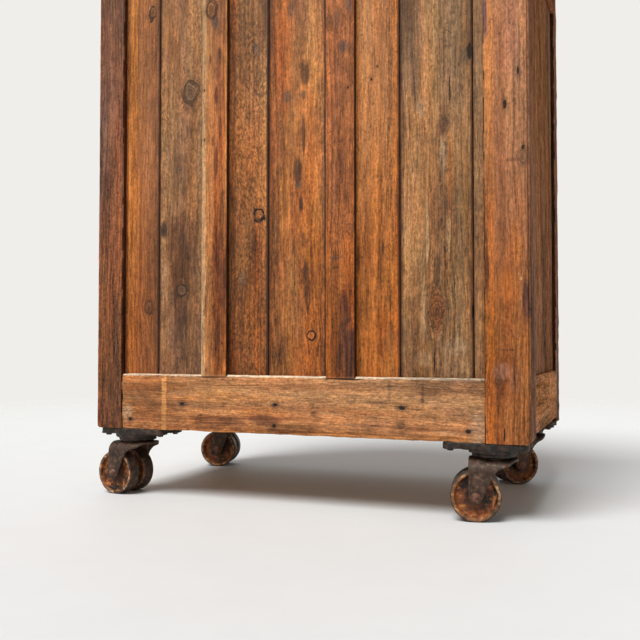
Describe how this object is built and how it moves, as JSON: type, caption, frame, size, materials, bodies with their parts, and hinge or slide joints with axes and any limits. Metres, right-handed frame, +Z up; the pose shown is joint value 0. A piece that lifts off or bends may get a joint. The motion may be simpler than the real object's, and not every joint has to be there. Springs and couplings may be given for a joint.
{
  "type": "printer cabinet",
  "caption": "Tall boarded pine printer's cabinet with shallow type cases over deep drawers, cup pulls and twin-wheel cast iron swivel casters.",
  "frame": {"origin": "centre of the footprint on the floor, under the wheels", "axes": "+Z up, +X along the width to the right seen from the drawers' side, -Y out of the drawer fronts"},
  "size_m": [0.916, 0.564, 1.18],
  "materials": {
    "orange_pine": "worn oiled pine, orange brown",
    "dark_pine": "dark stained pine",
    "pale_pine": "worn pine, bare edges",
    "board_wood": "old pine boards, oiled and stained",
    "grey_board_wood": "weathered grey pine boards",
    "batten_wood": "red brown pine battens",
    "side_wood": "dark oiled pine",
    "front_wood": "worn oiled pine",
    "drawer_wood": "worn pine fronts, bare boxes",
    "top_wood": "worn oiled pine top",
    "inner_wood": "bare dusty pine",
    "caster_iron": "dark cast iron with rust",
    "wheel_iron": "rusty cast iron, worn bright at the rim",
    "pull_iron": "dark cast iron, rubbed at the lip"
  },
  "bodies": {
    "cabinet": {"top_board": "top_wood", "floor_boards": "inner_wood", "back_left_post": "orange_pine", "back_right_post": "dark_pine", "front_left_post": "orange_pine", "front_right_post": "dark_pine", "back_bottom_rail": "pale_pine", "back_top_rail": "pale_pine", "back_boards_right": "board_wood", "back_boards_middle": "board_wood", "back_boards_left": "grey_board_wood", "back_right_batten": "batten_wood", "back_left_batten": "batten_wood", "left_side_rails": "side_wood", "right_side_rails": "side_wood", "left_side_panel": "side_wood", "right_side_panel": "side_wood", "front_rails": "front_wood", "left_runners": "inner_wood", "right_runners": "inner_wood", "back_left_caster_plate": "caster_iron", "back_right_caster_plate": "caster_iron", "front_left_caster_plate": "caster_iron", "front_right_caster_plate": "caster_iron", "caster_kingpins": "caster_iron"},
    "type_case_1": {"type_case_1": "drawer_wood", "type_case_1_pull": "pull_iron"},
    "type_case_2": {"type_case_2": "drawer_wood", "type_case_2_pull": "pull_iron"},
    "type_case_3": {"type_case_3": "drawer_wood", "type_case_3_pull": "pull_iron"},
    "type_case_4": {"type_case_4": "drawer_wood", "type_case_4_pull": "pull_iron"},
    "type_case_5": {"type_case_5": "drawer_wood", "type_case_5_pull": "pull_iron"},
    "type_case_6": {"type_case_6": "drawer_wood", "type_case_6_pull": "pull_iron"},
    "type_case_7": {"type_case_7": "drawer_wood", "type_case_7_pull": "pull_iron"},
    "deep_drawer_1": {"deep_drawer_1": "drawer_wood", "deep_drawer_1_pull": "pull_iron"},
    "deep_drawer_2": {"deep_drawer_2": "drawer_wood", "deep_drawer_2_pull": "pull_iron"},
    "back_left_swivel": {"back_left_caster_fork": "caster_iron", "back_left_caster_axle": "caster_iron"},
    "back_left_outer_wheel": {"back_left_caster_outer_wheel": "wheel_iron"},
    "back_left_inner_wheel": {"back_left_caster_inner_wheel": "wheel_iron"},
    "back_right_swivel": {"back_right_caster_fork": "caster_iron", "back_right_caster_axle": "caster_iron"},
    "back_right_outer_wheel": {"back_right_caster_outer_wheel": "wheel_iron"},
    "back_right_inner_wheel": {"back_right_caster_inner_wheel": "wheel_iron"},
    "front_left_swivel": {"front_left_caster_fork": "caster_iron", "front_left_caster_axle": "caster_iron"},
    "front_left_outer_wheel": {"front_left_caster_outer_wheel": "wheel_iron"},
    "front_left_inner_wheel": {"front_left_caster_inner_wheel": "wheel_iron"},
    "front_right_swivel": {"front_right_caster_fork": "caster_iron", "front_right_caster_axle": "caster_iron"},
    "front_right_outer_wheel": {"front_right_caster_outer_wheel": "wheel_iron"},
    "front_right_inner_wheel": {"front_right_caster_inner_wheel": "wheel_iron"}
  },
  "joints": [
    {"name": "type_case_1_slide", "type": "slide", "parent": "cabinet", "child": "type_case_1", "axis": [0, -1, 0], "range_m": [0, 0.33]},
    {"name": "type_case_2_slide", "type": "slide", "parent": "cabinet", "child": "type_case_2", "axis": [0, -1, 0], "range_m": [0, 0.33]},
    {"name": "type_case_3_slide", "type": "slide", "parent": "cabinet", "child": "type_case_3", "axis": [0, -1, 0], "range_m": [0, 0.33]},
    {"name": "type_case_4_slide", "type": "slide", "parent": "cabinet", "child": "type_case_4", "axis": [0, -1, 0], "range_m": [0, 0.33]},
    {"name": "type_case_5_slide", "type": "slide", "parent": "cabinet", "child": "type_case_5", "axis": [0, -1, 0], "range_m": [0, 0.33]},
    {"name": "type_case_6_slide", "type": "slide", "parent": "cabinet", "child": "type_case_6", "axis": [0, -1, 0], "range_m": [0, 0.33]},
    {"name": "type_case_7_slide", "type": "slide", "parent": "cabinet", "child": "type_case_7", "axis": [0, -1, 0], "range_m": [0, 0.33]},
    {"name": "deep_drawer_1_slide", "type": "slide", "parent": "cabinet", "child": "deep_drawer_1", "axis": [0, -1, 0], "range_m": [0, 0.33]},
    {"name": "deep_drawer_2_slide", "type": "slide", "parent": "cabinet", "child": "deep_drawer_2", "axis": [0, -1, 0], "range_m": [0, 0.33]},
    {"name": "back_left_swivel_turn", "type": "hinge", "parent": "cabinet", "child": "back_left_swivel", "pos_m": [-0.37, 0.218, 0.1], "axis": [0, 0, 1], "continuous": true},
    {"name": "back_left_outer_wheel_roll", "type": "hinge", "parent": "back_left_swivel", "child": "back_left_outer_wheel", "pos_m": [-0.33849, 0.22356, 0.0445], "axis": [-0.1736, 0.9848, 0], "continuous": true},
    {"name": "back_left_inner_wheel_roll", "type": "hinge", "parent": "back_left_swivel", "child": "back_left_inner_wheel", "pos_m": [-0.33849, 0.22356, 0.0445], "axis": [-0.1736, 0.9848, 0], "continuous": true},
    {"name": "back_right_swivel_turn", "type": "hinge", "parent": "cabinet", "child": "back_right_swivel", "pos_m": [0.37, 0.218, 0.1], "axis": [0, 0, 1], "continuous": true},
    {"name": "back_right_outer_wheel_roll", "type": "hinge", "parent": "back_right_swivel", "child": "back_right_outer_wheel", "pos_m": [0.40169, 0.21355, 0.0445], "axis": [0.1392, 0.9903, 0], "continuous": true},
    {"name": "back_right_inner_wheel_roll", "type": "hinge", "parent": "back_right_swivel", "child": "back_right_inner_wheel", "pos_m": [0.40169, 0.21355, 0.0445], "axis": [0.1392, 0.9903, 0], "continuous": true},
    {"name": "front_left_swivel_turn", "type": "hinge", "parent": "cabinet", "child": "front_left_swivel", "pos_m": [-0.37, -0.218, 0.1], "axis": [0, 0, 1], "continuous": true},
    {"name": "front_left_outer_wheel_roll", "type": "hinge", "parent": "front_left_swivel", "child": "front_left_outer_wheel", "pos_m": [-0.34379, -0.19965, 0.0445], "axis": [-0.5736, 0.8192, 0], "continuous": true},
    {"name": "front_left_inner_wheel_roll", "type": "hinge", "parent": "front_left_swivel", "child": "front_left_inner_wheel", "pos_m": [-0.34379, -0.19965, 0.0445], "axis": [-0.5736, 0.8192, 0], "continuous": true},
    {"name": "front_right_swivel_turn", "type": "hinge", "parent": "cabinet", "child": "front_right_swivel", "pos_m": [0.37, -0.218, 0.1], "axis": [0, 0, 1], "continuous": true},
    {"name": "front_right_outer_wheel_roll", "type": "hinge", "parent": "front_right_swivel", "child": "front_right_outer_wheel", "pos_m": [0.40091, -0.20972, 0.0445], "axis": [-0.2588, 0.9659, 0], "continuous": true},
    {"name": "front_right_inner_wheel_roll", "type": "hinge", "parent": "front_right_swivel", "child": "front_right_inner_wheel", "pos_m": [0.40091, -0.20972, 0.0445], "axis": [-0.2588, 0.9659, 0], "continuous": true}
  ]
}
